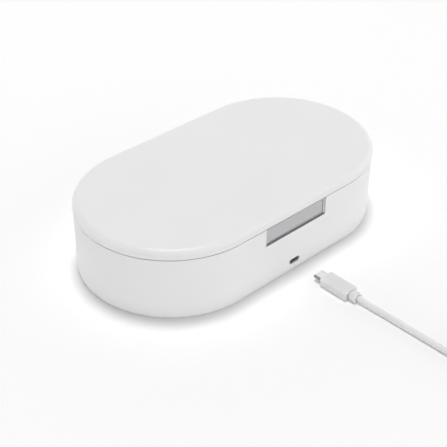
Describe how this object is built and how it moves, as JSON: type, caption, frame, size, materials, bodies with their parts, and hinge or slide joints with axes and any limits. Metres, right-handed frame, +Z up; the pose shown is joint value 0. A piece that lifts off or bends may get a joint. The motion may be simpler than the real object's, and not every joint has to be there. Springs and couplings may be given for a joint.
{
  "type": "ultraviolet phone sanitizer box",
  "caption": "Stadium-shaped ultraviolet sanitizer box with a hinged charging lid, mirror-lined chamber, push bar, charging port and a loose charging cable.",
  "frame": {"origin": "centre of the box's footprint, on the surface that its four feet stand on", "axes": "+X along the box's length, +Y towards the hinge (the push bar and the port face -Y), +Z up"},
  "size_m": [0.228, 0.3232, 0.052],
  "materials": {
    "white_shell": "fine satin moulded ABS",
    "mirror_liner": "vacuum-metallised, mirror bright",
    "silver_plastic": "silver-grey satin",
    "smoked_plastic": "smoked, polished",
    "grey_rubber": "matt",
    "white_silicone": "matt silicone",
    "quartz_glass": "clear, polished",
    "bare_steel": "nickel-plated",
    "copper_wire": "enamelled copper wire",
    "ferrite": "dark sintered",
    "circuit_board": "green solder mask",
    "black_plastic": "fine satin",
    "white_cable": "smooth satin elastomer"
  },
  "bodies": {
    "base": {"base_shell": "white_shell", "bottom_cover": "white_shell", "rubber_foot_front_left": "grey_rubber", "rubber_foot_front_right": "grey_rubber", "rubber_foot_back_left": "grey_rubber", "rubber_foot_back_right": "grey_rubber", "bottom_screw_front_left": "bare_steel", "bottom_screw_front_right": "bare_steel", "bottom_screw_back_left": "bare_steel", "bottom_screw_back_right": "bare_steel", "chamber_tray": "mirror_liner", "lower_uv_lamp": "quartz_glass", "lower_lamp_holder_left": "white_silicone", "lower_lamp_holder_right": "white_silicone", "lower_lamp_lead_left": "black_plastic", "lower_lamp_lead_right": "black_plastic", "main_board": "circuit_board", "board_screw_1": "bare_steel", "board_screw_2": "bare_steel", "usb_port_shell": "bare_steel", "usb_port_tongue": "black_plastic", "lamp_transformer": "ferrite", "capacitor": "black_plastic", "button_bezel": "silver_plastic", "tact_switch": "bare_steel", "switch_board": "circuit_board", "switch_lead": "black_plastic", "status_light_bar": "smoked_plastic", "base_magnet_left": "bare_steel", "base_magnet_right": "bare_steel", "hinge_pin_left": "bare_steel", "hinge_pin_right": "bare_steel", "lid_ribbon": "white_silicone", "usb_c_shell": "bare_steel", "usb_c_grip": "white_cable", "cable_stretch": "white_cable", "cable_coil": "white_cable", "cable_tie": "black_plastic", "cable_tail": "white_cable", "usb_a_grip": "white_cable", "usb_a_shell": "bare_steel"},
    "lid": {"lid_cover": "white_shell", "lid_liner": "mirror_liner", "lid_screw_front_left": "bare_steel", "lid_screw_front_right": "bare_steel", "lid_screw_back_left": "bare_steel", "lid_screw_back_right": "bare_steel", "light_seal": "white_silicone", "lid_magnet_left": "bare_steel", "lid_magnet_right": "bare_steel", "sensor_magnet": "bare_steel", "upper_uv_lamp": "quartz_glass", "upper_lamp_holder_left": "white_silicone", "upper_lamp_holder_right": "white_silicone", "charging_coil": "copper_wire", "ferrite_sheet": "ferrite", "charger_board": "circuit_board"},
    "button": {"power_button": "silver_plastic", "switch_plunger": "black_plastic"}
  },
  "joints": [
    {"name": "lid_hinge", "type": "hinge", "parent": "base", "child": "lid", "pos_m": [0, 0.0634, 0.0455], "axis": [-1, 0, 0], "range_deg": [0, 100], "deforming": ["lid_ribbon"]},
    {"name": "power_button_press", "type": "slide", "parent": "base", "child": "button", "axis": [0, 1, 0], "range_m": [0, 0.0008], "stiffness_N_per_m": 1500, "springref_m": -0.0005}
  ]
}
